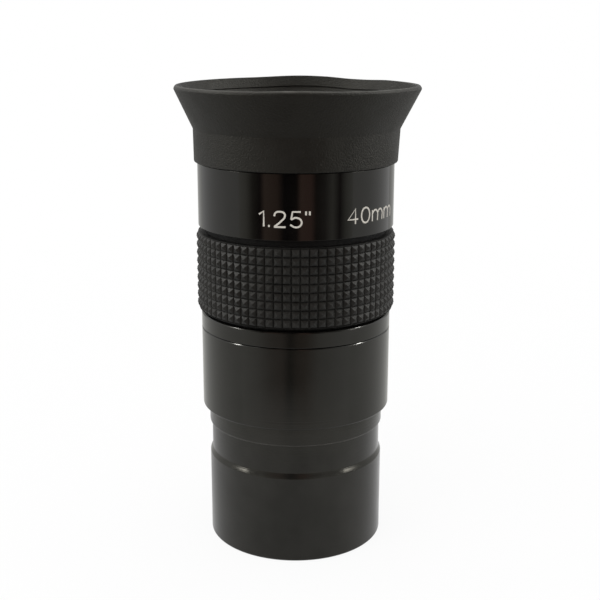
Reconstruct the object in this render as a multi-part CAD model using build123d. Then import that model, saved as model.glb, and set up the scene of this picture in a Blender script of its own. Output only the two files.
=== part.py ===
from build123d import *
from math import sqrt
import os

# A 1.25 inch telescope eyepiece of 40 mm focal length, standing on its barrel.
# Millimetres.  Z is the optical axis, up towards the eye; z = 0 is the barrel's open end.

# ---- driving dimensions ------------------------------------------------------------

# barrel (nosepiece), the standard 1.25 inch push fit
barrel_d = 31.75
barrel_wall = 1.875
barrel_length = 25.2            # open end to the stop shoulder under the lower housing
barrel_edge_chamfer = 0.3
undercut_low = 16.9             # safety groove for the focuser's set screw
undercut_high = 21.8
undercut_depth = 0.425
undercut_bevel = 0.7            # height of the sloped lower flank
barrel_neck_length = 6.0        # threaded neck above the stop shoulder
barrel_neck_wall = 1.2          # from the bore to the thread's crest
register_length = 0.4           # plain step that centres the barrel in the lower housing
register_step = 0.25            # below the barrel's own radius
register_clearance = 0.05       # housing's counterbore outside the barrel

# filter thread M28.5 x 0.6 inside the open end
filter_thread_d = 28.5
filter_thread_length = 5.0
filter_thread_lead = 0.4        # lead-in chamfer

# screw threads between the pieces, drawn as plain rings
thread_pitch = 0.75
thread_depth = 0.4
thread_clearance = 0.05         # radial, crest to the mating bore
thread_relief = 0.5             # spare depth at the end of each threaded bore

# lower housing
lower_housing_length = 14.6
stop_face_width = 0.6           # least width of the stop face around the barrel
neck_length = 3.6               # threaded neck that enters the upper housing
neck_wall = 1.0                 # from the bore to the thread's root
seam_chamfer = 0.13             # each side of the seam between the housings

# upper housing
flange_length = 2.94
flange_step = 0.93              # flange above the grip's seat
flange_bevel = 0.25
grip_channel_length = 15.52
channel_wall = 0.45             # grip seat above the neck's bore
band_step = 1.23                # lettered band above the grip's seat
band_chamfer = 0.15
eye_shoulder_depth = 2.6        # eye lens's flat face below the top of the band
eye_lip_thickness = 1.2
eye_lip_overlap = 0.8           # how far the lip covers the lens's rim

# eyecup seat on top of the upper housing
seat_rim_step = 1.13            # rim below the band's radius
seat_rim_length = 2.55
seat_rim_round = 0.4
seat_groove_depth = 0.9         # below the rim
seat_groove_length = 1.55
seat_wall = 1.3                 # from the rim to the mouth of the cone above the eye lens

# grip sleeve, rubber
grip_thickness = 1.43
grip_face_length = 13.7
grip_face_low = 0.76            # from the flange to the thick part of the sleeve
grip_end_thickness = 0.5
grip_lip_round = 0.5
grip_clearance = 0.05

# eyecup, rubber
eyecup_overhang = 0.56          # skirt outside the band
eyecup_skirt_length = 5.65
eyecup_skirt_spread = 0.08
eyecup_flare_length = 6.9
eyecup_flare_spread = 3.32
eyecup_wall = 0.95
eyecup_rim_round = 0.45
eyecup_base_gap = 0.05          # above the band
eyecup_clearance = 0.08         # running fit on the seat

# lens group: two alike cemented doublets with their crowns facing each other
lens_d = 28.0
lens_clearance = 0.05
crown_inner_radius = 34.75      # faces the other doublet
crown_cemented_radius = 38.8
crown_edge = 1.0
flint_centre = 1.8
cement_gap = 0.02
lens_separation = 0.5           # between the crowns, on the axis
spacer_width = 1.0
retainer_step = 0.55            # retaining ring's thread outside the lens bore
retainer_length = 2.5
retainer_width = 1.35
retainer_lead = 3.65            # open thread below the retaining ring
spanner_slot_width = 1.2
spanner_slot_depth = 0.8

# field stop
back_focus = 34.4               # last lens face to the field stop
field_stop_d = 27.0
field_stop_length = 2.0
field_stop_edge = 0.3           # land left by the bevel above the opening

# ---- sizes that follow -------------------------------------------------------------


def sag(radius, half_width):
    """Depth of a spherical face of this radius at this distance from its axis."""
    return radius - sqrt(radius**2 - half_width**2)


barrel_r = barrel_d / 2
barrel_bore_r = barrel_r - barrel_wall
barrel_thread_r = barrel_bore_r + barrel_neck_wall
barrel_socket_r = barrel_thread_r + thread_clearance

lens_r = lens_d / 2
lens_bore_r = lens_r + lens_clearance
retainer_bore_r = lens_bore_r + retainer_step
neck_thread_r = retainer_bore_r + 1.0
neck_socket_r = neck_thread_r + thread_clearance
lower_bore_r = neck_thread_r - thread_depth - neck_wall
grip_seat_r = neck_socket_r + channel_wall
body_r = max(grip_seat_r + flange_step, barrel_r + register_clearance + stop_face_width)
band_r = grip_seat_r + band_step
seat_rim_r = band_r - seat_rim_step
seat_groove_r = seat_rim_r - seat_groove_depth

crown_inner_sag = sag(crown_inner_radius, lens_r)
crown_cemented_sag = sag(crown_cemented_radius, lens_r)
crown_centre = crown_inner_sag + crown_edge + crown_cemented_sag
doublet_length = flint_centre + cement_gap + crown_centre
stack_length = 2 * doublet_length + lens_separation

stop_z = barrel_length
register_z = stop_z + register_length
seam_z = stop_z + lower_housing_length
neck_top_z = seam_z + neck_length
neck_socket_z = neck_top_z + thread_relief
retainer_z = neck_top_z + retainer_lead
field_face_z = retainer_z + retainer_length
eye_face_z = field_face_z + stack_length
band_top_z = eye_face_z + eye_shoulder_depth
channel_low_z = seam_z + flange_length
channel_high_z = channel_low_z + grip_channel_length
groove_top_z = band_top_z + seat_groove_length
seat_top_z = groove_top_z + seat_rim_length
field_stop_z = field_face_z - back_focus

# ---- turned shapes -----------------------------------------------------------------


def turned(outline):
    """A solid of revolution about Z from a closed outline of (radius, height) points."""
    return revolve(Plane.XZ * make_face(Polyline(*outline, close=True)), Axis.Z)


def tube(outside, inside):
    """A turned tube: its outside and inside outlines both run from the bottom up."""
    return turned(outside + inside[::-1])


def thread_rings(crest_r, low, high):
    """Outline of a male thread from low to high, as rings one pitch apart."""
    root_r = crest_r - thread_depth
    count = int((high - low) / thread_pitch)
    start = high - count * thread_pitch
    points = [(root_r, low)]
    for turn in range(count):
        base = start + turn * thread_pitch
        points.append((root_r, base + 0.10 * thread_pitch))
        points.append((crest_r, base + 0.45 * thread_pitch))
        points.append((crest_r, base + 0.60 * thread_pitch))
        points.append((root_r, base + 0.95 * thread_pitch))
    points.append((root_r, high))
    return points


# ---- barrel and field stop ---------------------------------------------------------


def make_barrel():
    """Nosepiece: filter thread below, set screw groove, register and threaded neck above."""
    groove_r = barrel_r - undercut_depth
    outside = [
        (barrel_r - barrel_edge_chamfer, 0),
        (barrel_r, barrel_edge_chamfer),
        (barrel_r, undercut_low - undercut_bevel),
        (groove_r, undercut_low),
        (groove_r, undercut_high),
        (barrel_r, undercut_high),
        (barrel_r, stop_z),
        (barrel_r - register_step, stop_z),
        (barrel_r - register_step, register_z),
    ]
    outside += thread_rings(barrel_thread_r, register_z, stop_z + barrel_neck_length)
    filter_r = filter_thread_d / 2
    inside = [
        (filter_r + filter_thread_lead, 0),
        (filter_r, filter_thread_lead),
        (filter_r, filter_thread_length),
        (barrel_bore_r, filter_thread_length),
        (barrel_bore_r, stop_z + barrel_neck_length),
    ]
    return tube(outside, inside)


def spanner_slots(outer_r, face_z, depth):
    """Two slots across a ring's face, for a pin spanner."""
    bar = Box(2 * outer_r + 1, spanner_slot_width, depth)
    return Pos(0, 0, face_z + depth / 2) * bar


def make_field_stop_ring():
    """Thin stop at the focal plane, with a bevelled opening."""
    outer_r = barrel_bore_r - thread_clearance
    opening_r = field_stop_d / 2
    top = field_stop_z + field_stop_length
    bevel = field_stop_length - field_stop_edge
    bevel_r = opening_r + min(bevel, (outer_r - opening_r) / 2)
    ring = tube(
        [(outer_r, field_stop_z), (outer_r, top)],
        [(opening_r, field_stop_z), (opening_r, field_stop_z + field_stop_edge), (bevel_r, top)],
    )
    return ring - spanner_slots(outer_r, top - spanner_slot_depth, spanner_slot_depth)


# ---- housings ----------------------------------------------------------------------


def make_lower_housing():
    """Plain drum: counterbore and socket for the barrel below, threaded neck above."""
    outside = [(body_r, stop_z), (body_r, seam_z - seam_chamfer), (body_r - seam_chamfer, seam_z)]
    outside += thread_rings(neck_thread_r, seam_z, neck_top_z)
    socket_top = stop_z + barrel_neck_length + thread_relief
    inside = [
        (barrel_r + register_clearance, stop_z),
        (barrel_r + register_clearance, register_z),
        (barrel_socket_r, register_z),
        (barrel_socket_r, socket_top),
        (lower_bore_r, socket_top),
        (lower_bore_r, neck_top_z),
    ]
    return tube(outside, inside)


def make_upper_housing():
    """Lens cell: flange, grip channel and lettered band outside, stepped bores inside."""
    lip_r = lens_r - eye_lip_overlap
    outside = [
        (body_r - seam_chamfer, seam_z),
        (body_r, seam_z + seam_chamfer),
        (body_r, channel_low_z - flange_bevel),
        (body_r - flange_bevel, channel_low_z),
        (grip_seat_r, channel_low_z),
        (grip_seat_r, channel_high_z),
        (band_r - band_chamfer, channel_high_z),
        (band_r, channel_high_z + band_chamfer),
        (band_r, band_top_z - band_chamfer),
        (band_r - band_chamfer, band_top_z),
        (seat_groove_r, band_top_z),
        (seat_groove_r, groove_top_z),
        (seat_rim_r, groove_top_z),
        (seat_rim_r, seat_top_z - seat_rim_round),
        (seat_rim_r - seat_rim_round, seat_top_z),
    ]
    inside = [
        (neck_socket_r, seam_z),
        (neck_socket_r, neck_socket_z),
        (retainer_bore_r, neck_socket_z),
        (retainer_bore_r, field_face_z + thread_clearance),
        (lens_bore_r, field_face_z + thread_clearance),
        (lens_bore_r, eye_face_z),
        (lip_r, eye_face_z),
        (lip_r, eye_face_z + eye_lip_thickness),
        (seat_rim_r - seat_wall, seat_top_z),
    ]
    return tube(outside, inside)


def make_grip_sleeve():
    """Rubber sleeve in the channel: a thick face between two thin end rims."""
    seat_r = grip_seat_r + grip_clearance
    face_r = seat_r + grip_thickness
    rim_r = seat_r + grip_end_thickness
    low = channel_low_z + grip_clearance
    high = channel_high_z - grip_clearance
    face_low = channel_low_z + grip_face_low
    face_high = face_low + grip_face_length
    outside = [
        (rim_r, low),
        (rim_r, face_low),
        (face_r - grip_lip_round, face_low),
        (face_r, face_low + grip_lip_round),
        (face_r, face_high - grip_lip_round),
        (face_r - grip_lip_round, face_high),
        (rim_r, face_high),
        (rim_r, high),
    ]
    return tube(outside, [(seat_r, low), (seat_r, high)])


def make_eyecup():
    """Rubber cup: a bead in the seat's groove, a straight skirt and a flared rim."""
    base_z = band_top_z + eyecup_base_gap
    crease_z = base_z + eyecup_skirt_length
    flare_z = crease_z + eyecup_flare_length
    skirt_r = band_r + eyecup_overhang
    crease_r = skirt_r + eyecup_skirt_spread
    flare_r = crease_r + eyecup_flare_spread
    bead_r = seat_groove_r + eyecup_clearance
    socket_r = seat_rim_r + eyecup_clearance
    outside = [(skirt_r, base_z), (crease_r, crease_z), (flare_r, flare_z)]
    outside.append((flare_r - eyecup_rim_round, flare_z + 2 * eyecup_rim_round))
    inside = [
        (bead_r, base_z),
        (bead_r, groove_top_z - eyecup_clearance),
        (socket_r, groove_top_z - eyecup_clearance),
        (socket_r, seat_top_z),
        (crease_r - eyecup_wall, crease_z + eyecup_wall / 2),
        (flare_r - eyecup_wall - eyecup_rim_round, flare_z + 2 * eyecup_rim_round),
    ]
    return tube(outside, inside)


# ---- lens group --------------------------------------------------------------------


def lens_element(low_z, low_sag, high_z, high_sag):
    """A round lens between two faces.

    low_z and high_z are where the faces cross the axis.  A positive sag bulges that
    face outwards at the axis, a negative one hollows it, and 0 leaves it flat.
    """
    low_rim = low_z + low_sag
    high_rim = high_z - high_sag
    low_face = Line((0, low_z), (lens_r, low_z))
    if low_sag:
        low_face = ThreePointArc((0, low_z), arc_middle(low_z, low_sag), (lens_r, low_rim))
    high_face = Line((lens_r, high_z), (0, high_z))
    if high_sag:
        high_face = ThreePointArc((lens_r, high_rim), arc_middle(high_z, -high_sag), (0, high_z))
    rim = Line((lens_r, low_rim), (lens_r, high_rim))
    axis = Line((0, high_z), (0, low_z))
    return revolve(Plane.XZ * make_face([low_face, rim, high_face, axis]), Axis.Z)


def arc_middle(apex_z, rim_rise):
    """The point half way out on a spherical face that rises rim_rise from apex to rim."""
    radius = (lens_r**2 + rim_rise**2) / (2 * abs(rim_rise))
    rise = sag(radius, lens_r / 2)
    return (lens_r / 2, apex_z + (rise if rim_rise > 0 else -rise))


def make_doublets():
    """The four lens elements, named, from the field side up to the eye side."""
    field_cement = field_face_z + flint_centre
    crown_low = field_cement + cement_gap
    crown_high = crown_low + crown_centre
    eye_crown_low = crown_high + lens_separation
    eye_crown_high = eye_crown_low + crown_centre
    eye_flint_low = eye_crown_high + cement_gap
    return {
        "field_lens_flint": lens_element(field_face_z, 0, field_cement, -crown_cemented_sag),
        "field_lens_crown": lens_element(crown_low, crown_cemented_sag, crown_high, crown_inner_sag),
        "eye_lens_crown": lens_element(
            eye_crown_low, crown_inner_sag, eye_crown_high, crown_cemented_sag
        ),
        "eye_lens_flint": lens_element(eye_flint_low, -crown_cemented_sag, eye_face_z, 0),
    }


def make_lens_spacer():
    """Ring whose inner edges touch the facing crowns."""
    inner_r = lens_r - spacer_width
    rise = sag(crown_inner_radius, inner_r)
    middle = field_face_z + doublet_length + lens_separation / 2
    half = lens_separation / 2 + rise
    return tube(
        [(lens_r, middle - half), (lens_r, middle + half)],
        [(inner_r, middle - half), (inner_r, middle + half)],
    )


def make_lens_retaining_ring():
    """Threaded ring that presses the lens group up against the eye lip."""
    outer_r = retainer_bore_r - thread_clearance
    inner_r = outer_r - retainer_width
    ring = tube(
        [(outer_r, retainer_z), (outer_r, field_face_z)],
        [(inner_r, retainer_z), (inner_r, field_face_z)],
    )
    return ring - spanner_slots(outer_r, retainer_z, spanner_slot_depth)


# ---- assembly ----------------------------------------------------------------------

pieces = {
    "barrel": make_barrel(),
    "field_stop_ring": make_field_stop_ring(),
    "lower_housing": make_lower_housing(),
    "upper_housing": make_upper_housing(),
    "grip_sleeve": make_grip_sleeve(),
    "lens_retaining_ring": make_lens_retaining_ring(),
    "lens_spacer": make_lens_spacer(),
    "eyecup": make_eyecup(),
}
pieces.update(make_doublets())

os.makedirs("parts", exist_ok=True)
for name, piece in pieces.items():
    export_step(piece, f"parts/{name}.step")
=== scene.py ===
import bpy
import math
from mathutils import Matrix, Vector


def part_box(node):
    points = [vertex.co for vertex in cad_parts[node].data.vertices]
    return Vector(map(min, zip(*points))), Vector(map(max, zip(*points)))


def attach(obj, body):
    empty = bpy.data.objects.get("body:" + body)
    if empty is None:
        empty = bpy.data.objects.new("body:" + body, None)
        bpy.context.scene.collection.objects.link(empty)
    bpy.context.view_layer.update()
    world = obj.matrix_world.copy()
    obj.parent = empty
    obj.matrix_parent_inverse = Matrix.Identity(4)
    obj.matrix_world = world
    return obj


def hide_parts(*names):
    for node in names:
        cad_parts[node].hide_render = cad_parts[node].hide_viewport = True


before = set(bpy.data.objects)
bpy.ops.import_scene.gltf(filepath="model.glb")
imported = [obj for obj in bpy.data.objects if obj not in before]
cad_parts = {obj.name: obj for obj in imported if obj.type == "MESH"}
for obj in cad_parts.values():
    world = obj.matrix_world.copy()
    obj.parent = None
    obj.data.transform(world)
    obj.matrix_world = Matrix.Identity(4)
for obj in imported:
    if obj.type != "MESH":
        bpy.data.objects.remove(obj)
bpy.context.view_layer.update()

mm = 0.001
clearance = 0.05    # between pieces that lie against each other
scene = bpy.context.scene


# small helpers for modelling; outlines are in mm and turn into metres here

def deselectAll():
    if bpy.context.object and bpy.context.object.mode != "OBJECT":
        bpy.ops.object.mode_set(mode="OBJECT")
    bpy.ops.object.select_all(action="DESELECT")


def pickVerts(obj, test):
    # selects the vertices whose place passes the test, in edit mode
    bpy.ops.mesh.select_mode(type="VERT")
    bpy.ops.mesh.select_all(action="DESELECT")
    bpy.ops.object.mode_set(mode="OBJECT")
    for v in obj.data.vertices:
        v.select = test(v.co)
    bpy.ops.object.mode_set(mode="EDIT")


def drawOutline(name, corners):
    # a closed outline in the XZ plane, extruded vertex by vertex, then its corners rounded
    deselectAll()
    bpy.ops.mesh.primitive_plane_add(size=mm)
    obj = bpy.context.object
    obj.name = name
    obj.data.name = name
    bpy.ops.object.mode_set(mode="EDIT")
    bpy.ops.mesh.merge(type="CENTER")
    here = Vector((corners[0][0] * mm, 0, corners[0][1] * mm))
    bpy.ops.transform.translate(value=here)
    for corner in corners[1:] + corners[:1]:
        there = Vector((corner[0] * mm, 0, corner[1] * mm))
        bpy.ops.mesh.extrude_region_move(TRANSFORM_OT_translate={"value": there - here})
        here = there
    bpy.ops.mesh.select_all(action="SELECT")
    bpy.ops.mesh.remove_doubles(threshold=1e-7)
    for corner in corners:
        if len(corner) > 2:
            place = Vector((corner[0] * mm, 0, corner[1] * mm))
            pickVerts(obj, lambda co: (co - place).length < 1e-6)
            bpy.ops.mesh.bevel(offset=corner[2] * mm, segments=3, affect="VERTICES")
    return obj


def spinOutline(obj, steps):
    # turns the outline round the optical axis into a closed solid
    bpy.ops.mesh.select_all(action="SELECT")
    bpy.ops.mesh.spin(steps=steps, angle=math.tau, center=(0, 0, 0), axis=(0, 0, 1))
    bpy.ops.mesh.select_all(action="SELECT")
    bpy.ops.mesh.remove_doubles(threshold=1e-6)
    bpy.ops.mesh.normals_make_consistent(inside=False)


def finishPiece(obj, smoothAngle=40):
    deselectAll()
    obj.select_set(True)
    bpy.context.view_layer.objects.active = obj
    bpy.ops.object.shade_smooth_by_angle(angle=math.radians(smoothAngle))
    weighted = obj.modifiers.new("weighted", "WEIGHTED_NORMAL")
    weighted.keep_sharp = True
    bpy.ops.object.modifier_apply(modifier=weighted.name)


def turnPiece(name, corners, steps=192):
    obj = drawOutline(name, corners)
    spinOutline(obj, steps)
    finishPiece(obj)
    return obj


ridge = {
    "base": 0.42,    # half width at the root and at the crest, in pitches
    "tip": 0.08,
    "sunk": 0.04,    # how deep it starts in the wall
    "steps": 96,
}


def threadRidge(name, thread, low, high):
    # one helical ridge from low to high; the crest is inside the root for a nut thread
    root, crest, pitch = thread["root"], thread["crest"], thread["pitch"]
    turns = int((high - low - thread["spare"]) / pitch)
    start = low + thread["start"]
    base = ridge["base"] * pitch
    tip = ridge["tip"] * pitch
    sunk = root + math.copysign(ridge["sunk"], root - crest)
    obj = drawOutline(name, [
        (sunk, start - base), (root, start - base), (crest, start - tip),
        (crest, start + tip), (root, start + base), (sunk, start + base),
    ])
    bpy.ops.object.mode_set(mode="OBJECT")
    screw = obj.modifiers.new("screw", "SCREW")
    screw.screw_offset = pitch * mm
    screw.iterations = turns
    screw.steps = ridge["steps"]
    screw.render_steps = ridge["steps"]
    screw.use_merge_vertices = False
    bpy.ops.object.modifier_apply(modifier=screw.name)
    bpy.ops.object.mode_set(mode="EDIT")
    bpy.ops.mesh.select_all(action="SELECT")
    bpy.ops.mesh.fill_holes(sides=0)
    bpy.ops.mesh.select_all(action="SELECT")
    bpy.ops.mesh.normals_make_consistent(inside=False)
    finishPiece(obj, 30)
    return obj


def joinPieces(main, *others):
    deselectAll()
    for other in others:
        other.select_set(True)
    main.select_set(True)
    bpy.context.view_layer.objects.active = main
    bpy.ops.object.join()
    return main


def place(obj, body, slot, material, *replaced):
    # material, body and the CAD nodes that the piece stands for; the slot is not used
    obj.data.materials.clear()
    obj.data.materials.append(material)
    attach(obj, body)
    if replaced:
        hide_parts(*replaced)
    return obj


# node groups that several finishes share

def newGroup(name, inputs, outputs):
    group = bpy.data.node_groups.new(name, "ShaderNodeTree")
    for socketName, kind, value in inputs:
        socket = group.interface.new_socket(socketName, in_out="INPUT", socket_type=kind)
        if value is not None:
            socket.default_value = value
    for socketName, kind in outputs:
        group.interface.new_socket(socketName, in_out="OUTPUT", socket_type=kind)
    return group, group.nodes.new("NodeGroupInput"), group.nodes.new("NodeGroupOutput")


def mathNode(tree, operation, first, second=None, third=None):
    node = tree.nodes.new("ShaderNodeMath")
    node.operation = operation
    for socket, value in zip(node.inputs, (first, second, third)):
        if value is None:
            continue
        if isinstance(value, (int, float)):
            socket.default_value = value
        else:
            tree.links.new(value, socket)
    return node.outputs[0]


def noiseNode(tree, vector, scale, detail=2.0, dimensions="3D", w=None):
    node = tree.nodes.new("ShaderNodeTexNoise")
    node.noise_dimensions = dimensions
    node.inputs["Detail"].default_value = detail
    if isinstance(scale, (int, float)):
        node.inputs["Scale"].default_value = scale
    else:
        tree.links.new(scale, node.inputs["Scale"])
    if vector is not None:
        tree.links.new(vector, node.inputs["Vector"])
    if w is not None:
        tree.links.new(w, node.inputs["W"])
    return node.outputs[0]


def rangeNode(tree, value, low, high, fromLow=0.3, fromHigh=0.7):
    # spreads a value over low to high; a noise value is mostly 0.3 to 0.7
    node = tree.nodes.new("ShaderNodeMapRange")
    node.inputs["From Min"].default_value = fromLow
    node.inputs["From Max"].default_value = fromHigh
    node.inputs["To Min"].default_value = low
    node.inputs["To Max"].default_value = high
    tree.links.new(value, node.inputs["Value"])
    return node.outputs["Result"]


def splitAxes(tree, vector):
    node = tree.nodes.new("ShaderNodeSeparateXYZ")
    tree.links.new(vector, node.inputs[0])
    return node.outputs


def squareSum(tree, first, second):
    return mathNode(tree, "MULTIPLY_ADD", first, first, mathNode(tree, "MULTIPLY", second, second))


def groupNode(tree, group, coords, values):
    node = tree.nodes.new("ShaderNodeGroup")
    node.node_tree = group
    tree.links.new(coords, node.inputs["Vector"])
    for name, value in values.items():
        node.inputs[name].default_value = value
    return node.outputs


# noise scales are per metre and drift is in metres; the rest are shares of the noise
grainValues = {
    "driftScale": 60.0,
    "drift": 0.00006,
    "latheToneScale": 220.0,
    "rubberToneScale": 260.0,
    "speckScale": 700.0,
    "speckSize": 0.10,
    "patchScale": 900.0,
    "patchFrom": 0.58,
    # these two break up the painted highlight lines along edges
    "highlightBreakScale": 400.0,
    "highlightBreakRange": (0.6, 1.3),
}


def makeTurningLines():
    # fine rings left by the lathe: a height, and a slow tone for roughness and colour
    group, gIn, gOut = newGroup(
        "turningLines",
        [("Vector", "NodeSocketVector", None), ("Lines per mm", "NodeSocketFloat", 9.0)],
        [("Height", "NodeSocketFloat"), ("Tone", "NodeSocketFloat")],
    )
    height = splitAxes(group, gIn.outputs["Vector"])["Z"]
    drift = noiseNode(group, gIn.outputs["Vector"], grainValues["driftScale"], 1.0)
    drifted = mathNode(group, "MULTIPLY_ADD", drift, grainValues["drift"], height)
    perMetre = mathNode(group, "MULTIPLY", gIn.outputs["Lines per mm"], 1000.0)
    lines = noiseNode(group, None, perMetre, 3.0, "1D", drifted)
    tone = noiseNode(group, gIn.outputs["Vector"], grainValues["latheToneScale"], 4.0)
    group.links.new(lines, gOut.inputs["Height"])
    group.links.new(tone, gOut.inputs["Tone"])
    return group


def makeRubberGrain():
    # moulded rubber: fine pebbled skin, cloudy tone and a few dust specks
    group, gIn, gOut = newGroup(
        "rubberGrain",
        [("Vector", "NodeSocketVector", None), ("Grain per mm", "NodeSocketFloat", 7.0)],
        [("Height", "NodeSocketFloat"), ("Tone", "NodeSocketFloat"), ("Dust", "NodeSocketFloat")],
    )
    perMetre = mathNode(group, "MULTIPLY", gIn.outputs["Grain per mm"], 1000.0)
    grain = noiseNode(group, gIn.outputs["Vector"], perMetre, 3.0)
    tone = noiseNode(group, gIn.outputs["Vector"], grainValues["rubberToneScale"], 5.0)
    cells = group.nodes.new("ShaderNodeTexVoronoi")
    cells.inputs["Scale"].default_value = grainValues["speckScale"]
    group.links.new(gIn.outputs["Vector"], cells.inputs["Vector"])
    speck = mathNode(group, "LESS_THAN", cells.outputs["Distance"], grainValues["speckSize"])
    patchNoise = noiseNode(group, gIn.outputs["Vector"], grainValues["patchScale"], 0.0)
    patch = mathNode(group, "GREATER_THAN", patchNoise, grainValues["patchFrom"])
    group.links.new(grain, gOut.inputs["Height"])
    group.links.new(tone, gOut.inputs["Tone"])
    group.links.new(mathNode(group, "MULTIPLY", speck, patch), gOut.inputs["Dust"])
    return group


def makePaintedEdgeHighlight():
    # a painted highlight: a thin light line along a turned edge, the circle at this radius and height,
    # broken by noise
    group, gIn, gOut = newGroup(
        "paintedEdgeHighlight",
        [("Vector", "NodeSocketVector", None), ("Radius", "NodeSocketFloat", 0.01),
         ("Height", "NodeSocketFloat", 0.0), ("Reach", "NodeSocketFloat", 0.0002)],
        [("Mask", "NodeSocketFloat")],
    )
    x, y, z = splitAxes(group, gIn.outputs["Vector"])
    across = mathNode(group, "SQRT", squareSum(group, x, y))
    outwards = mathNode(group, "SUBTRACT", across, gIn.outputs["Radius"])
    upwards = mathNode(group, "SUBTRACT", z, gIn.outputs["Height"])
    away = mathNode(group, "SQRT", squareSum(group, outwards, upwards))
    near = mathNode(group, "SUBTRACT", 1.0, mathNode(group, "DIVIDE", away, gIn.outputs["Reach"]))
    near = mathNode(group, "MAXIMUM", near, 0.0)
    highlightBreakNoise = noiseNode(group, gIn.outputs["Vector"], grainValues["highlightBreakScale"], 3.0)
    patchy = rangeNode(group, highlightBreakNoise, *grainValues["highlightBreakRange"])
    group.links.new(mathNode(group, "MULTIPLY", near, patchy), gOut.inputs["Mask"])
    return group


turningLines = makeTurningLines()
paintedEdgeHighlight = makePaintedEdgeHighlight()
rubberGrain = makeRubberGrain()
print("node groups made")


# finishes

def blend(tree, factor, first, second):
    node = tree.nodes.new("ShaderNodeMix")
    node.data_type = "RGBA"
    for value, socket in ((factor, "Factor"), (first, "A"), (second, "B")):
        if isinstance(value, tuple):
            node.inputs[socket].default_value = (*value, 1)
        else:
            tree.links.new(value, node.inputs[socket])
    return node.outputs["Result"]


def newMaterial(name):
    material = bpy.data.materials.new(name)
    material.use_nodes = True
    tree = material.node_tree
    shader = tree.nodes["Principled BSDF"]
    coords = tree.nodes.new("ShaderNodeTexCoord").outputs["Object"]
    return material, tree, shader, coords


def bumpNode(tree, height, depth):
    node = tree.nodes.new("ShaderNodeBump")
    node.inputs["Strength"].default_value = 1.0
    node.inputs["Distance"].default_value = depth * mm
    tree.links.new(height, node.inputs["Height"])
    return node.outputs["Normal"]


def finishSkin(tree, shader, coords, look, colour, tone, bump):
    # what lathe-turned and moulded surfaces share: painted highlight lines along edges, roughness, bump
    # and gloss
    # a lighter colour along each listed edge, as a painted highlight
    for radius, height, reach in look["paintedHighlightEdges"]:
        paintedHighlightLine = groupNode(tree, paintedEdgeHighlight, coords,
                         {"Radius": radius * mm, "Height": height * mm, "Reach": reach * mm})
        colour = blend(tree, paintedHighlightLine["Mask"], colour, look["paintedHighlightColour"])
    tree.links.new(colour, shader.inputs["Base Color"])
    tree.links.new(rangeNode(tree, tone, *look["roughness"]), shader.inputs["Roughness"])
    tree.links.new(bump, shader.inputs["Normal"])
    shader.inputs["IOR"].default_value = look["ior"]
    shader.inputs["Specular Tint"].default_value = (*look["sheen"], 1)


def anodisedFinish(name, look):
    material, tree, shader, coords = newMaterial(name)
    lines = groupNode(tree, turningLines, coords, {"Lines per mm": look["linesPerMm"]})
    colour = blend(tree, rangeNode(tree, lines["Tone"], 0, 1), look["dark"], look["light"])
    bump = bumpNode(tree, lines["Height"], look["lineDepth"])
    finishSkin(tree, shader, coords, look, colour, lines["Tone"], bump)
    return material


def rubberFinish(name, look):
    material, tree, shader, coords = newMaterial(name)
    grain = groupNode(tree, rubberGrain, coords, {"Grain per mm": look["grainPerMm"]})
    colour = blend(tree, rangeNode(tree, grain["Tone"], 0, 1), look["dark"], look["light"])
    colour = blend(tree, grain["Dust"], colour, look["dust"])
    bump = bumpNode(tree, grain["Height"], look["grainDepth"])
    finishSkin(tree, shader, coords, look, colour, grain["Tone"], bump)
    return material


def plainFinish(name, look):
    # one noise sets the tone, the roughness and the bump
    material, tree, shader, coords = newMaterial(name)
    tone = noiseNode(tree, coords, look["noisePerMm"] / mm, look["detail"])
    tree.links.new(blend(tree, tone, look["dark"], look["light"]), shader.inputs["Base Color"])
    tree.links.new(rangeNode(tree, tone, *look["roughness"]), shader.inputs["Roughness"])
    tree.links.new(bumpNode(tree, tone, look["bumpHeight"]), shader.inputs["Normal"])
    shader.inputs["IOR"].default_value = look["ior"]
    return material


def glassFinish(name, look):
    # clear glass with a faint uneven smear
    material, tree, shader, coords = newMaterial(name)
    shader.inputs["Transmission Weight"].default_value = 1.0
    shader.inputs["IOR"].default_value = look["ior"]
    shader.inputs["Base Color"].default_value = (*look["tint"], 1)
    smear = noiseNode(tree, coords, look["smearPerMm"] / mm, 3.0)
    tree.links.new(rangeNode(tree, smear, *look["roughness"]), shader.inputs["Roughness"])
    return material


bandLook = {
    "dark": (0.0012, 0.0010, 0.0010),
    "light": (0.0030, 0.0025, 0.0024),
    "roughness": (0.05, 0.09),
    "ior": 1.46,
    "sheen": (1.0, 0.99, 0.91),
    "lineDepth": 0.0004,
    "linesPerMm": 5.0,
    "paintedHighlightEdges": [],
}
housingLook = {
    "dark": (0.0020, 0.0017, 0.0015),
    "light": (0.0042, 0.0038, 0.0034),
    "roughness": (0.10, 0.16),
    "ior": 1.47,
    "sheen": (1.0, 0.99, 0.92),
    "lineDepth": 0.009,
    "linesPerMm": 3.4,
    "paintedHighlightEdges": [],
}
barrelLook = {
    "dark": (0.0022, 0.0020, 0.0019),
    "light": (0.0078, 0.0074, 0.0070),
    "roughness": (0.15, 0.21),
    "ior": 1.46,
    "sheen": (1.0, 0.98, 0.88),
    "lineDepth": 0.012,
    "linesPerMm": 2.4,
    "paintedHighlightEdges": [(15.83, 21.84, 0.26)],    # radius, height and reach of each painted highlight line, in mm
    # the colour of the painted highlight line
    "paintedHighlightColour": (0.045, 0.043, 0.040),
}
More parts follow.
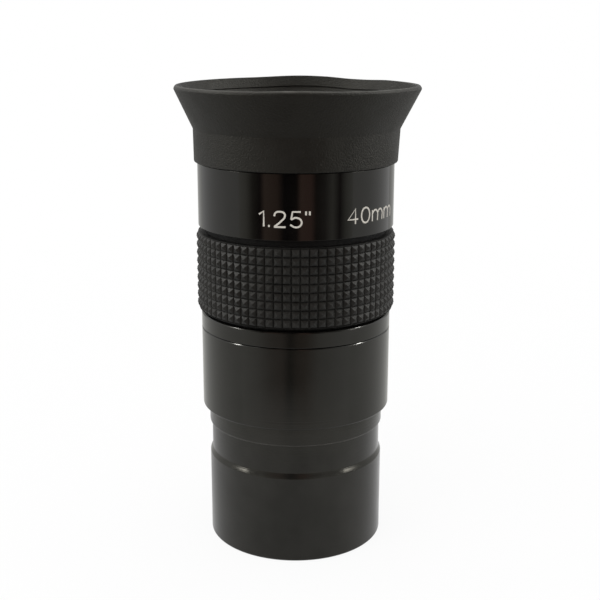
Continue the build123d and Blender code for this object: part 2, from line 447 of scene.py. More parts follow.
eyecupLook = {
    "dark": (0.0036, 0.0034, 0.0030),
    "light": (0.0068, 0.0064, 0.0056),
    "roughness": (0.50, 0.62),
    "ior": 1.36,
    "sheen": (1.0, 0.98, 0.87),
    "dust": (0.016, 0.015, 0.013),
    "grainDepth": 0.13,
    "grainPerMm": 3.5,
    # a painted highlight line along the rim's outer edge, and its colour
    "paintedHighlightEdges": [(20.86, 82.56, 0.34)],
    "paintedHighlightColour": (0.085, 0.082, 0.074),
}
gripLook = {
    "dark": (0.0046, 0.0044, 0.0041),
    "light": (0.0094, 0.0089, 0.0082),
    "roughness": (0.46, 0.58),
    "ior": 1.37,
    "sheen": (1.0, 0.99, 0.94),
    "dust": (0.02, 0.019, 0.017),
    "grainDepth": 0.02,
    "grainPerMm": 8.0,
    "paintedHighlightEdges": [],
}
mattBlackLook = {
    "dark": (0.003, 0.003, 0.003),
    "light": (0.007, 0.0065, 0.006),
    "roughness": (0.6, 0.8),
    "ior": 1.3,
    "noisePerMm": 0.9,
    "detail": 4.0,
    "bumpHeight": 0.02,
}
markingLook = {
    "dark": (0.42, 0.39, 0.34),
    "light": (0.60, 0.57, 0.51),
    "roughness": (0.45, 0.65),
    "ior": 1.5,
    "noisePerMm": 2.5,
    "detail": 3.0,
    "bumpHeight": 0.01,
}
glassLook = {
    "tint": (0.96, 1.0, 0.97),
    "roughness": (0.0, 0.03),
    "ior": 1.52,
    "smearPerMm": 0.12,
}
glossAnodised = anodisedFinish("glossAnodised", bandLook)
satinAnodised = anodisedFinish("satinAnodised", housingLook)
barrelAnodised = anodisedFinish("barrelAnodised", barrelLook)
eyecupRubber = rubberFinish("eyecupRubber", eyecupLook)
gripRubber = rubberFinish("gripRubber", gripLook)
mattBlack = plainFinish("mattBlack", mattBlackLook)
markingPaint = plainFinish("markingPaint", markingLook)
lensGlass = glassFinish("lensGlass", glassLook)
print("finishes made")


# barrel

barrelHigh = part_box("barrel")[1]
barrel = {
    "radius": barrelHigh.x / mm,
    "endChamfer": 0.3,
    "landTop": 15.75,
    "grooveBottom": 16.62,
    "grooveRadius": 15.47,
    "grooveTop": 21.8,
    "stop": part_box("lower_housing")[0].z / mm,
    "registerRadius": 15.625,
    "registerHeight": 0.4,
    "neckTop": barrelHigh.z / mm,
    # start is above the thread's foot, spare is the length that the ridge leaves free
    "neckThread": {"root": 14.8, "crest": 15.2, "pitch": 0.75, "start": 0.5, "spare": 1.0},
    "bore": 14.0,
    "filterThread": {"root": 14.25, "crest": 13.95, "pitch": 0.6, "start": 0.4, "spare": 0.7},
    "filterTop": 5.0,
    "filterLead": 0.4,
}


def makeBarrel(b):
    r = b["radius"]
    register = b["stop"] + b["registerHeight"]
    neckRoot = b["neckThread"]["root"]
    filterRoot = b["filterThread"]["root"]
    body = turnPiece("barrelTube", [
        (filterRoot + b["filterLead"], 0, 0.05),
        (r - b["endChamfer"], 0, 0.1),
        (r, b["endChamfer"], 0.1),
        (r, b["landTop"], 0.12),
        (b["grooveRadius"], b["grooveBottom"], 0.12),
        (b["grooveRadius"], b["grooveTop"], 0.05),
        (r, b["grooveTop"], 0.18),
        (r, b["stop"], 0.06),
        (b["registerRadius"], b["stop"]),
        (b["registerRadius"], register, 0.08),
        (neckRoot, register),
        (neckRoot, b["neckTop"], 0.15),
        (b["bore"], b["neckTop"], 0.15),
        (b["bore"], b["filterTop"], 0.05),
        (filterRoot, b["filterTop"]),
        (filterRoot, b["filterLead"], 0.05),
    ])
    neck = threadRidge("neckRidge", b["neckThread"], register, b["neckTop"])
    nut = threadRidge("filterRidge", b["filterThread"], b["filterLead"], b["filterTop"])
    return joinPieces(body, neck, nut)


place(makeBarrel(barrel), "barrel_body", "barrel_anodised", barrelAnodised, "barrel")
print("barrel made")


# lower housing

lowerLow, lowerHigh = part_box("lower_housing")
lower = {
    "radius": lowerHigh.x / mm,
    "bottom": lowerLow.z / mm,
    "seam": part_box("upper_housing")[0].z / mm,
    "seamChamfer": 0.13,
    "seamGap": 0.06,
    "seamDepth": 0.6,
    "bottomRound": 0.26,
    "counterbore": 15.925,
    "counterboreHeight": 0.4,
    "socket": 15.25,
    "socketTop": 31.7,
    "bore": 14.2,
    "neckTop": lowerHigh.z / mm,
    "neckThread": {"root": 15.2, "crest": 15.6, "pitch": 0.75, "start": 0.5, "spare": 0.8},
}


def makeLowerHousing(h):
    r = h["radius"]
    shelf = h["bottom"] + h["counterboreHeight"]
    rim = h["seam"] - h["seamGap"]
    neckRoot = h["neckThread"]["root"]
    body = turnPiece("lowerHousing", [
        (h["counterbore"], h["bottom"], 0.04),
        (r, h["bottom"], h["bottomRound"]),
        (r, rim - h["seamChamfer"], 0.04),
        (r - h["seamChamfer"], rim, 0.02),
        (r - h["seamDepth"], rim),
        (r - h["seamDepth"], h["seam"]),
        (neckRoot, h["seam"]),
        (neckRoot, h["neckTop"], 0.15),
        (h["bore"], h["neckTop"], 0.15),
        (h["bore"], h["socketTop"], 0.1),
        (h["socket"], h["socketTop"]),
        (h["socket"], shelf),
        (h["counterbore"], shelf),
    ])
    neck = threadRidge("lensCellRidge", h["neckThread"], h["seam"], h["neckTop"])
    return joinPieces(body, neck)


place(makeLowerHousing(lower), "lower_body", "housing_anodised", satinAnodised, "lower_housing")
print("lower housing made")


# upper housing: plain ring, grip channel, lettered band and eyecup seat

upperLow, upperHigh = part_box("upper_housing")
gripLow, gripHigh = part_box("grip_sleeve")
upper = {
    "seam": upperLow.z / mm,
    "seamChamfer": 0.13,
    "ringRadius": lower["radius"],
    "channelLow": gripLow.z / mm - clearance,
    "channelHigh": gripHigh.z / mm + clearance,
    "channelRadius": 16.1,
    "ringBevel": 0.25,
    "bandRadius": upperHigh.x / mm,
    "bandChamfer": 0.15,
    "bandFoot": 0.08,
    "bandTop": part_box("eyecup")[0].z / mm - clearance,
    "seatGroove": 15.3,
    "seatGrooveTop": 1.55,
    "seatRim": 16.2,
    "top": upperHigh.z / mm,
    "coneMouth": 14.9,
    "lipRadius": 13.2,
    "lipThickness": 1.2,
    "lensBore": 14.05,
    "ringThread": 14.6,
    "socket": 15.65,
    "socketTop": 43.9,
    "paintMargin": 0.01,
}


def makeUpperHousing(u):
    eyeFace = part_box("eye_lens_flint")[1].z / mm
    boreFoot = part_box("field_lens_flint")[0].z / mm + clearance
    seatLow = u["bandTop"] + u["seatGrooveTop"]
    ring = u["ringRadius"]
    band = u["bandRadius"]
    return turnPiece("upperHousing", [
        (ring - u["seamChamfer"], u["seam"], 0.03),
        (ring, u["seam"] + u["seamChamfer"], 0.04),
        (ring, u["channelLow"] - u["ringBevel"], 0.11),
        (ring - u["ringBevel"], u["channelLow"], 0.08),
        (u["channelRadius"], u["channelLow"]),
        (u["channelRadius"], u["channelHigh"]),
        (band - u["bandFoot"], u["channelHigh"], 0.02),
        (band, u["channelHigh"] + u["bandFoot"], 0.03),
        (band, u["bandTop"] - u["bandChamfer"], 0.05),
        (band - u["bandChamfer"], u["bandTop"], 0.03),
        (u["seatGroove"], u["bandTop"]),
        (u["seatGroove"], seatLow),
        (u["seatRim"], seatLow, 0.1),
        (u["seatRim"], u["top"], 0.4),
        (u["coneMouth"], u["top"], 0.15),
        (u["lipRadius"], eyeFace + u["lipThickness"], 0.1),
        (u["lipRadius"], eyeFace, 0.05),
        (u["lensBore"], eyeFace),
        (u["lensBore"], boreFoot),
        (u["ringThread"], boreFoot),
        (u["ringThread"], u["socketTop"]),
        (u["socket"], u["socketTop"]),
        (u["socket"], u["seam"], 0.1),
    ])


def paintUpperHousing(housing, u):
    # satin up to the ring's top, matt black on the channel wall as painted shade for the narrow gap by
    # the grip, gloss above it
    housing.data.materials.append(satinAnodised)
    housing.data.materials.append(mattBlack)
    for face in housing.data.polygons:
        middle = face.center
        channelWall = math.hypot(middle.x, middle.y) < (u["channelRadius"] + clearance) * mm
        if middle.z < (u["channelLow"] + u["paintMargin"]) * mm:
            face.material_index = 1
        elif middle.z < (u["channelHigh"] - u["paintMargin"]) * mm and channelWall:
            face.material_index = 2


upperHousing = makeUpperHousing(upper)
place(upperHousing, "lens_body", "housing_gloss", glossAnodised, "upper_housing")
paintUpperHousing(upperHousing, upper)
print("upper housing made")


# grip sleeve with its rows of small pyramids

grip = {
    "columns": 73,
    "rows": 9,
    "inner": 16.15,
    "base": 17.25,
    "groove": 0.15,
    "grooveDepth": 0.18,
    "peak": 0.34,
    "tipBevel": 0.11,
    "tipShare": 0.7,    # of the peak's height; only the tips are above it
    "faceLow": 0.62,
    "faceLength": 13.78,
    "lip": 0.11,
    "lipHeight": 0.16,
    "lipChamfer": (0.06, 0.03),    # across and up
}


def makeGrip(g):
    faceLow = upper["channelLow"] + g["faceLow"]
    faceHigh = faceLow + g["faceLength"]
    rowsLow = faceLow + g["lip"]
    rowsHigh = faceHigh - g["lip"]
    pitch = (rowsHigh - rowsLow) / g["rows"]
    deselectAll()
    bpy.ops.mesh.primitive_circle_add(vertices=g["columns"], radius=g["base"] * mm)
    sleeve = bpy.context.object
    sleeve.name = "gripSleeve"
    sleeve.data.name = "gripSleeve"
    bpy.ops.object.mode_set(mode="EDIT")
    bpy.ops.transform.translate(value=(0, 0, rowsLow * mm))
    for row in range(g["rows"]):
        bpy.ops.mesh.extrude_region_move(TRANSFORM_OT_translate={"value": (0, 0, pitch * mm)})
    lipRadius = g["base"] + g["lipHeight"]
    across, up = g["lipChamfer"]
    section = [
        (g["base"], rowsHigh), (lipRadius, rowsHigh + up), (lipRadius, faceHigh - up),
        (lipRadius - across, faceHigh), (g["inner"], faceHigh), (g["inner"], faceLow),
        (lipRadius - across, faceLow), (lipRadius, faceLow + up), (lipRadius, rowsLow - up),
        (g["base"], rowsLow),
    ]
    for here, there in zip(section, section[1:]):
        # carries the open edge on to the next ring of the section
        rise = (there[1] - here[1]) * mm
        bpy.ops.mesh.extrude_region_move(TRANSFORM_OT_translate={"value": (0, 0, rise)})
        widen = there[0] / here[0]
        bpy.ops.transform.resize(value=(widen, widen, 1), center_override=(0, 0, 0))
    bpy.ops.mesh.select_all(action="SELECT")
    bpy.ops.mesh.remove_doubles(threshold=1e-6)
    bpy.ops.mesh.normals_make_consistent(inside=False)
    bpy.ops.mesh.select_mode(type="FACE")
    bpy.ops.mesh.select_all(action="DESELECT")
    bpy.ops.object.mode_set(mode="OBJECT")
    for face in sleeve.data.polygons:
        middle = face.center
        outside = math.hypot(middle.x, middle.y) > (g["base"] + g["inner"]) / 2 * mm
        face.select = outside and rowsLow * mm < middle.z < rowsHigh * mm and abs(face.normal.z) < 0.1
    bpy.ops.object.mode_set(mode="EDIT")
    bpy.ops.mesh.inset(thickness=g["groove"] * mm, depth=g["grooveDepth"] * mm, use_individual=True)
    bpy.ops.mesh.poke(offset=g["peak"] * mm, use_relative_offset=False)
    tipsFrom = (g["base"] + g["grooveDepth"] + g["peak"] * g["tipShare"]) * mm
    pickVerts(sleeve, lambda co: math.hypot(co.x, co.y) > tipsFrom)
    bpy.ops.mesh.bevel(offset=g["tipBevel"] * mm, segments=1, affect="VERTICES")
    finishPiece(sleeve, 20)
    return sleeve


place(makeGrip(grip), "lens_body", "grip_rubber", gripRubber, "grip_sleeve")
print("grip made")


# eyecup

cupLow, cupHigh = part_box("eyecup")
cup = {
    "bottom": cupLow.z / mm,
    "skirtRadius": 17.89,
    "creaseRadius": 17.97,
    "skirtLength": 5.65,
    "skirtChamfer": 0.12,
    "flareRadius": cupHigh.x / mm - 0.12,
    "flareLength": 6.82,
    "crest": cupHigh.z / mm - 0.45,
    "crestWidth": 0.42,
    "crestInset": 0.34,
    "ledgeDrop": 1.8,
    "ledgeStep": 0.18,
    "ledgeHeight": 0.12,
    "wall": 0.95,
    "throatRise": 0.45,
    "bead": 15.38,
    "beadTop": 1.42,
    "socket": 16.28,
    "socketTop": upperHigh.z / mm + clearance,
    # how the soft rim is pushed out of true: where, which way and how wide, in mm
    "pushes": [
        ((0.0, 20.6), (0, 0, 0.30), 34),
        ((1.1, 20.6), (0, 0, 0.23), 9),
        ((12.0, 16.8), (0, 0, -0.19), 6.5),
        ((0.0, -20.6), (0, 0, 0.16), 7),
        ((21.0, 0.0), (0.6, 0, 0), 14),
    ],
    "pushDepth": 0.2,     # below the crest, and round the spot
    "pushSpot": 0.8,
}


def makeEyecup(c):
    crease = c["bottom"] + c["skirtLength"]
    corner = crease + c["flareLength"]
    r = c["flareRadius"]
    lean = (r - c["creaseRadius"]) / c["flareLength"]
    crestOut = r - c["crestInset"]
    crestIn = crestOut - c["crestWidth"]
    ledge = c["crest"] - c["ledgeDrop"]
    ledgeRadius = crestIn - c["ledgeDrop"] * lean
    cupPiece = drawOutline("eyecupRubber", [
        (c["skirtRadius"] - c["skirtChamfer"], c["bottom"], 0.05),
        (c["skirtRadius"], c["bottom"] + c["skirtChamfer"], 0.08),
        (c["creaseRadius"], crease, 0.12),
        (r, corner, 0.2),
        (crestOut, c["crest"], 0.12),
        (crestIn, c["crest"], 0.16),
        (ledgeRadius, ledge, 0.06),
        (ledgeRadius + c["ledgeStep"], ledge - c["ledgeHeight"], 0.06),
        (c["creaseRadius"] - c["wall"], crease + c["throatRise"], 0.4),
        (c["socket"], c["socketTop"], 0.1),
        (c["socket"], c["bottom"] + c["beadTop"], 0.05),
        (c["bead"], c["bottom"] + c["beadTop"], 0.1),
        (c["bead"], c["bottom"], 0.1),
    ])
    spinOutline(cupPiece, 192)
    rimFrom = (c["crest"] - c["pushDepth"]) * mm
    for spot, shift, reach in c["pushes"]:
        at = Vector(spot) * mm
        pickVerts(cupPiece, lambda co: co.z > rimFrom and (co.xy - at).length < c["pushSpot"] * mm)
        bpy.ops.transform.translate(value=Vector(shift) * mm, use_proportional_edit=True,
                                    proportional_edit_falloff="SMOOTH", proportional_size=reach * mm)
    finishPiece(cupPiece)
    return cupPiece


place(makeEyecup(cup), "eyecup_body", "eyecup_rubber", eyecupRubber, "eyecup")
print("eyecup made")


# lens elements

lens = {
    "radius": 14.0,
    "innerFace": 34.75,
    "cementedFace": 38.8,
    "arcSteps": 20,
    "steps": 128,
}


def sagAt(faceRadius, r):
    # how far a spherical face falls back at this distance from the axis; a radius of 0 is a flat face
    return faceRadius - math.sqrt(faceRadius**2 - r**2) if faceRadius else 0


def arcPoints(apexZ, faceRadius, bulge, outwards=True):
    # a spherical face from the axis to the rim; bulge 1 rises towards the axis, -1 falls
    points = []
    for step in range(lens["arcSteps"] + 1):
        r = lens["radius"] * step / lens["arcSteps"]
        points.append((r, apexZ - bulge * sagAt(faceRadius, r)))
    return points if outwards else points[::-1]


def makeElement(name, node, lowRadius, lowBulge, highRadius, highBulge):
    low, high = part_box(node)
    # a hollow face has its rim at the end of the box, and its apex deeper in
    lowApex = low.z / mm + (sagAt(lowRadius, lens["radius"]) if lowBulge < 0 else 0)
    highApex = high.z / mm - (sagAt(highRadius, lens["radius"]) if highBulge < 0 else 0)
    outline = arcPoints(lowApex, lowRadius, -lowBulge) + arcPoints(highApex, highRadius, highBulge, False)
    element = drawOutline(name, outline)
    spinOutline(element, lens["steps"])
    finishPiece(element)
    return place(element, "lens_body", "lens_glass", lensGlass, node)


makeElement("fieldLensOuter", "field_lens_flint", 0, 0, lens["cementedFace"], -1)
makeElement("fieldLensInner", "field_lens_crown", lens["cementedFace"], 1, lens["innerFace"], 1)
makeElement("eyeLensInner", "eye_lens_crown", lens["innerFace"], 1, lens["cementedFace"], 1)
makeElement("eyeLensOuter", "eye_lens_flint", lens["cementedFace"], -1, 0, 0)
print("lenses made")

for ringName in ("field_stop_ring", "lens_retaining_ring", "lens_spacer"):
    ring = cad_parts[ringName]
    ring.data.materials.clear()
    ring.data.materials.append(mattBlack)
print("inner rings blackened")


# markings on the band: the barrel size and the focal length

lettering = {
    "height": 2.53,         # to the middle of the stroke
    "widen": 1.23,
    "stroke": 0.30,
    "depth": 0.03,
    "gap": 0.29,
    "baseline": 2.36,       # above the band's lower edge
    "slices": 40,
    "curveSteps": 8,
}

# pen strokes of each sign, in cap heights; "smooth" strokes are rounded through their points
penStrokes = {
    "0": (0.62, [("loop", [(0.31, 1), (0.0, 0.5), (0.31, 0), (0.62, 0.5)])]),
    "1": (0.32, [("sharp", [(0.04, 0.78), (0.3, 1), (0.3, 0)])]),
    "2": (0.62, [("smooth", [(0.02, 0.70), (0.09, 0.92), (0.32, 1), (0.55, 0.90), (0.58, 0.68),
                             (0.40, 0.40), (0.02, 0.0)]), ("sharp", [(0.0, 0), (0.62, 0)])]),
    "4": (0.68, [("sharp", [(0.50, 0), (0.50, 1), (0.02, 0.31), (0.68, 0.31)])]),
    "5": (0.60, [("sharp", [(0.56, 1), (0.13, 1), (0.06, 0.50)]),
                 ("smooth", [(0.06, 0.50), (0.32, 0.62), (0.59, 0.42), (0.54, 0.10), (0.28, 0.0),
                             (0.01, 0.16)])]),
    ".": (0.06, [("sharp", [(0.03, -0.02), (0.03, 0.12)])]),
    "m": (0.93, [("sharp", [(0.0, 0), (0.0, 0.74)]),
                 ("smooth", [(0.0, 0.52), (0.22, 0.73), (0.44, 0.60), (0.465, 0.0)]),
                 ("smooth", [(0.465, 0.52), (0.685, 0.73), (0.91, 0.60), (0.93, 0.0)])]),
    "\"": (0.2, [("sharp", [(0.0, 1.03), (0.0, 0.78)]), ("sharp", [(0.2, 1.03), (0.2, 0.78)])]),
}

markings = [
    {"name": "barrelSizeMark", "signs": "1.25\"", "middle": -6.6},
    {"name": "focalLengthMark", "signs": "40mm", "middle": 49.4},
]


def drawSigns(name, signs, look):
    # the signs side by side as one flat curve, centred on x
    deselectAll()
    bpy.ops.curve.primitive_bezier_curve_add()
    drawing = bpy.context.object
    drawing.name = name
    drawing.data.splines.clear()
    pen = 0
    for sign in signs:
        advance, strokes = penStrokes[sign]
        for kind, points in strokes:
            spline = drawing.data.splines.new("BEZIER")
            spline.bezier_points.add(len(points) - 1)
            spline.use_cyclic_u = kind == "loop"
            for knot, (x, y) in zip(spline.bezier_points, points):
                knot.co = Vector((pen + x * look["widen"], y, 0)) * look["height"] * mm
                knot.handle_left_type = "VECTOR" if kind == "sharp" else "AUTO"
                knot.handle_right_type = knot.handle_left_type
        pen += advance * look["widen"] + look["gap"]
    middle = (pen - look["gap"]) / 2 * look["height"] * mm
    drawing.data.resolution_u = look["curveSteps"]
    drawing.data.bevel_depth = look["stroke"] / 2 * mm
    drawing.data.bevel_resolution = 1
    drawing.data.use_fill_caps = True
    bpy.ops.object.convert(target="MESH")
    bpy.ops.object.mode_set(mode="EDIT")
    bpy.ops.mesh.select_all(action="SELECT")
    bpy.ops.transform.translate(value=(-middle, 0, 0))
    bpy.ops.transform.resize(value=(1, 1, look["depth"] / look["stroke"]), center_override=(0, 0, 0))
    return bpy.context.object, middle


def makeMarking(mark, look):
    # drawn flat, sliced so that it can bend, then wrapped on the band
    piece, halfWidth = drawSigns(mark["name"], mark["signs"], look)
    piece.data.name = mark["name"]
    for step in range(1, look["slices"]):
        cut = (2 * step / look["slices"] - 1) * halfWidth
        bpy.ops.mesh.select_all(action="SELECT")
        bpy.ops.mesh.bisect(plane_co=(cut, 0, 0), plane_no=(1, 0, 0))
    bpy.ops.mesh.select_all(action="SELECT")
    bpy.ops.mesh.normals_make_consistent(inside=False)
    bpy.ops.object.mode_set(mode="OBJECT")
    band = upper["bandRadius"] * mm
    base = (upper["channelHigh"] + look["baseline"]) * mm
    for v in piece.data.vertices:
        angle = v.co.x / band + math.radians(mark["middle"])
        r = band + v.co.z
        v.co = Vector((r * math.sin(angle), -r * math.cos(angle), base + v.co.y))
    bpy.ops.object.shade_smooth_by_angle(angle=math.radians(40))
    return place(piece, "lens_body", "housing_gloss", markingPaint)


for mark in markings:
    makeMarking(mark, lettering)
print("markings made")


# floor, studio cards, world, lamps and camera

# sizes of the stage are in metres
stage = {
    "floorSize": 4.0,
    "paper": (0.97, 0.97, 0.97),
    "floorGlow": 0.90,       # share of white near the object, which leaves room for its shadow
    "fadeFrom": 0.10,        # distances between which the floor goes to pure white
    "fadeTo": 0.30,
    "stripesAbove": 0.045,   # heights at which the screen's patterns change
    "softBelow": 0.031,
    "paperBelow": 0.018,
    "paperPower": 1.3,
    "paperMirrored": (0.86, 0.85, 0.82),
    "worldDiffuse": 0.9,
    # the floor's brightness in the gloss: degrees from the front, and shade
    "shadeStops": [
        (-180, 0.52), (-90, 0.78), (-50, 0.78), (0, 0.52), (50, 0.78), (90, 0.78), (180, 0.52),
    ],
}

# upright sheets seen only in the gloss: radius, low and high edge, middle and sweep in degrees, colour
cards = {
    "studioScreen": (0.07, 0.0, 0.30, 0, 120, (1, 1, 1)),
    "studioBack": (0.07, 0.0, 0.075, 180, 110, (0.62, 0.62, 0.60)),
    "studioSides": (0.069, 0.0, 0.028, 180, 240, (0.76, 0.76, 0.73)),
    "softboxLeft": (0.90, 0.200, 0.380, -68, 44, (1.0, 0.98, 0.94)),
    "softboxRight": (0.90, 0.200, 0.380, 69, 44, (1.0, 0.98, 0.94)),
}
softboxGlow = 17.0    # at the middle; the edges fade to 1


def brightFactor(tree):
    # 1 for the rays that see the white background: camera, glossy and transmission
    path = tree.nodes.new("ShaderNodeLightPath")
    seen = mathNode(tree, "MAXIMUM", path.outputs["Is Camera Ray"], path.outputs["Is Glossy Ray"])
    return mathNode(tree, "MAXIMUM", seen, path.outputs["Is Transmission Ray"])


def frontAngle(tree, coords):
    # 0.5 straight in front, rising to the right and falling to the left
    turn = tree.nodes.new("ShaderNodeMapping")
    turn.inputs["Rotation"].default_value = (0, 0, math.radians(90))
    tree.links.new(coords, turn.inputs["Vector"])
    around = tree.nodes.new("ShaderNodeTexGradient")
    around.gradient_type = "RADIAL"
    tree.links.new(turn.outputs[0], around.inputs["Vector"])
    return around.outputs["Fac"]


def angleRamp(tree, angle, colours):
    ramp = tree.nodes.new("ShaderNodeValToRGB")
    tree.links.new(angle, ramp.inputs["Fac"])
    stops = ramp.color_ramp.elements
    for degrees, colour in colours:
        stop = stops.new(0.5 + degrees / 360)
        stop.color = (*colour, 1)
    stops.remove(stops[0])
    stops.remove(stops[-1])
    return ramp.outputs["Color"]


def makeFloor(s):
    deselectAll()
    bpy.ops.mesh.primitive_plane_add(size=s["floorSize"])
    floor = bpy.context.object
    floor.name = "floor"
    material, tree, shader, coords = newMaterial("floorPaper")
    shader.inputs["Base Color"].default_value = (*s["paper"], 1)
    shader.inputs["Roughness"].default_value = 0.9
    shader.inputs["Specular IOR Level"].default_value = 0.1
    glow = tree.nodes.new("ShaderNodeEmission")
    mix = tree.nodes.new("ShaderNodeMixShader")
    away = tree.nodes.new("ShaderNodeVectorMath")
    away.operation = "LENGTH"
    tree.links.new(coords, away.inputs[0])
    fade = rangeNode(tree, away.outputs["Value"], s["floorGlow"], 1, s["fadeFrom"], s["fadeTo"])
    tree.links.new(mathNode(tree, "MULTIPLY", brightFactor(tree), fade), mix.inputs[0])
    greys = [(degrees, (shade, shade, shade)) for degrees, shade in s["shadeStops"]]
    shaded = angleRamp(tree, frontAngle(tree, coords), greys)
    path = tree.nodes.new("ShaderNodeLightPath")
    tree.links.new(blend(tree, path.outputs["Is Glossy Ray"], (1, 1, 1), shaded), glow.inputs["Color"])
    tree.links.new(shader.outputs[0], mix.inputs[1])
    tree.links.new(glow.outputs[0], mix.inputs[2])
    tree.links.new(mix.outputs[0], tree.nodes["Material Output"].inputs["Surface"])
    floor.data.materials.append(material)


# what the gloss mirrors on the camera's side: degrees from the front and colour, left to right
stripeStops = [
    (-66, (0.84, 0.84, 0.81)), (-52, (0.55, 0.54, 0.50)),
    (-44, (0.16, 0.15, 0.13)), (-36, (0.04, 0.03, 0.03)), (-31, (0.42, 0.30, 0.25)),
    (-19, (0.30, 0.20, 0.16)), (-12, (0.01, 0.01, 0.01)), (1, (0.02, 0.015, 0.01)),
    (5, (0.42, 0.26, 0.21)), (15, (0.38, 0.22, 0.18)), (20, (0.06, 0.05, 0.04)),
    (29, (0.14, 0.13, 0.12)), (37, (0.42, 0.41, 0.38)), (45, (0.07, 0.06, 0.06)),
    (52, (0.42, 0.42, 0.39)), (66, (0.86, 0.86, 0.83)),
]
softStops = [
    (-60, (0.80, 0.80, 0.77)), (-42, (0.66, 0.65, 0.62)),
    (-28, (0.44, 0.41, 0.38)), (-14, (0.34, 0.29, 0.26)), (-6, (0.05, 0.05, 0.04)),
    (1, (0.22, 0.18, 0.15)), (10, (0.30, 0.25, 0.21)), (24, (0.55, 0.54, 0.51)),
    (50, (0.74, 0.74, 0.72)), (60, (0.79, 0.79, 0.77)),
]


def curvedCard(name):
    radius, low, high, middle, sweep, colour = cards[name]
    deselectAll()
    bpy.ops.mesh.primitive_plane_add(size=mm)
    card = bpy.context.object
    card.name = name
    bpy.ops.object.mode_set(mode="EDIT")
    bpy.ops.mesh.merge(type="CENTER")
    bpy.ops.transform.translate(value=(radius, 0, low))
    bpy.ops.mesh.extrude_region_move(TRANSFORM_OT_translate={"value": (0, 0, high - low)})
    bpy.ops.mesh.select_all(action="SELECT")
    start = math.radians(90 - middle - sweep / 2)
    bpy.ops.transform.rotate(value=start, orient_axis="Z", center_override=(0, 0, 0))
    bpy.ops.mesh.spin(steps=64, angle=math.radians(sweep), center=(0, 0, 0), axis=(0, 0, 1))
    bpy.ops.object.mode_set(mode="OBJECT")
    card.visible_camera = False
    card.visible_diffuse = False
    card.visible_shadow = False
    card.visible_transmission = False
    material, tree, shader, coords = newMaterial(name)
    tree.nodes.remove(shader)
    glow = tree.nodes.new("ShaderNodeEmission")
    glow.inputs["Color"].default_value = (*colour, 1)
    tree.links.new(glow.outputs[0], tree.nodes["Material Output"].inputs["Surface"])
    card.data.materials.append(material)
    return tree, coords, glow


def makeScreen(s):
    # the dim side of the studio, round the front of the object
    tree, coords, glow = curvedCard("studioScreen")
    angle = frontAngle(tree, coords)
    height = splitAxes(tree, coords)["Z"]
    soft = rangeNode(tree, height, 1, 0, s["softBelow"], s["stripesAbove"])
    colour = blend(tree, soft, angleRamp(tree, angle, stripeStops), angleRamp(tree, angle, softStops))
    paper = rangeNode(tree, height, 1, 0, 0, s["paperBelow"])
    paper = mathNode(tree, "POWER", paper, s["paperPower"])
    tree.links.new(blend(tree, paper, colour, s["paperMirrored"]), glow.inputs["Color"])


def makeSoftbox(name):
    # bright in the middle and faded towards its ends and its edges
    tree, coords, glow = curvedCard(name)
    low, high, middle, sweep = cards[name][1:5]
    ends = angleRamp(tree, frontAngle(tree, coords), [
        (middle - sweep / 2, (0, 0, 0)), (middle - sweep / 6, (1, 1, 1)),
        (middle + sweep / 6, (1, 1, 1)), (middle + sweep / 2, (0, 0, 0))])
    height = splitAxes(tree, coords)["Z"]
    below = mathNode(tree, "SUBTRACT", high, height)
    above = mathNode(tree, "SUBTRACT", height, low)
    edges = mathNode(tree, "MULTIPLY", mathNode(tree, "MINIMUM", below, above), 2 / (high - low))
    shape = mathNode(tree, "MULTIPLY", ends, edges)
    strength = mathNode(tree, "MULTIPLY_ADD", shape, softboxGlow - 1, 1.0)
    tree.links.new(strength, glow.inputs["Strength"])


def makeWorld(s):
    world = bpy.data.worlds.new("studio")
    scene.world = world
    world.use_nodes = True
    tree = world.node_tree
    background = tree.nodes["Background"]
    background.inputs["Color"].default_value = (1, 1, 1, 1)
    strength = tree.nodes.new("ShaderNodeMix")
    strength.inputs["A"].default_value = s["worldDiffuse"]
    strength.inputs["B"].default_value = 1.0
    tree.links.new(brightFactor(tree), strength.inputs["Factor"])
    tree.links.new(strength.outputs["Result"], background.inputs["Strength"])


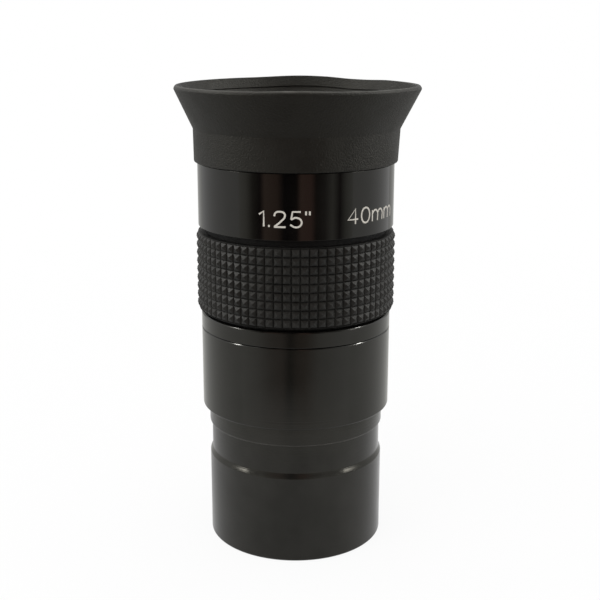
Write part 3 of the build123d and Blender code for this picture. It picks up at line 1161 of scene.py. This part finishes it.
lamps = {
    "width": 0.04,
    "length": 0.19,
    "power": 1.1,
    "aim": (0, 0, 0.04),
    # the top and the bottom end of each upright strip
    "lampLeft": ((-0.292, 0.084, 0.442), (-0.404, -0.060, 0.310)),
    "lampRight": ((0.323, 0.119, 0.403), (0.415, -0.028, 0.300)),
}
softLamp = {
    "place": (-0.30, -0.36, 0.62),
    "size": 0.5,
    "power": 1.1,
}


def areaLamp(name, width, length, power, place, turn):
    light = bpy.data.lights.new(name, "AREA")
    light.shape = "RECTANGLE"
    light.size = width
    light.size_y = length
    light.energy = power
    lamp = bpy.data.objects.new(name, light)
    scene.collection.objects.link(lamp)
    lamp.matrix_world = Matrix.Translation(place) @ turn.to_4x4()
    return lamp


def makeStripLamp(name, s):
    # its long side runs from the bottom end to the top one, and it only makes glints on the bevels
    top, bottom = (Vector(end) for end in s[name])
    middle = (top + bottom) / 2
    back = (middle - Vector(s["aim"])).normalized()
    across = (top - bottom).cross(back).normalized()
    turn = Matrix((across, back.cross(across), back)).transposed()
    areaLamp(name, s["width"], s["length"], s["power"], middle, turn).visible_diffuse = False


def makeSoftLamp(s):
    spot = Vector(s["place"])
    areaLamp("lampSoft", s["size"], s["size"], s["power"], spot, spot.to_track_quat("Z", "Y").to_matrix())


view = {
    "lens": 65.1,
    "distance": 0.1911,
    "height": 0.0933,
    "pitch": 14.48,
    "yaw": 0.23,
    "roll": 0.12,
    "sensor": 36,
    "clipStart": 0.01,
}


def makeCamera(v):
    data = bpy.data.cameras.new("camera")
    camera = bpy.data.objects.new("camera", data)
    scene.collection.objects.link(camera)
    data.lens = v["lens"]
    data.sensor_width = v["sensor"]
    data.clip_start = v["clipStart"]
    yaw = Matrix.Rotation(math.radians(-v["yaw"]), 4, "Z")
    pitch = Matrix.Rotation(math.radians(90 - v["pitch"]), 4, "X")
    roll = Matrix.Rotation(math.radians(v["roll"]), 4, "Z")
    camera.matrix_world = Matrix.Translation((0, -v["distance"], v["height"])) @ yaw @ pitch @ roll
    scene.camera = camera


makeFloor(stage)
makeScreen(stage)
curvedCard("studioBack")
curvedCard("studioSides")
makeSoftbox("softboxLeft")
makeSoftbox("softboxRight")
makeWorld(stage)
makeStripLamp("lampLeft", lamps)
makeStripLamp("lampRight", lamps)
makeSoftLamp(softLamp)
makeCamera(view)
scene.view_settings.view_transform = "Standard"
print("stage, lamps and camera made")
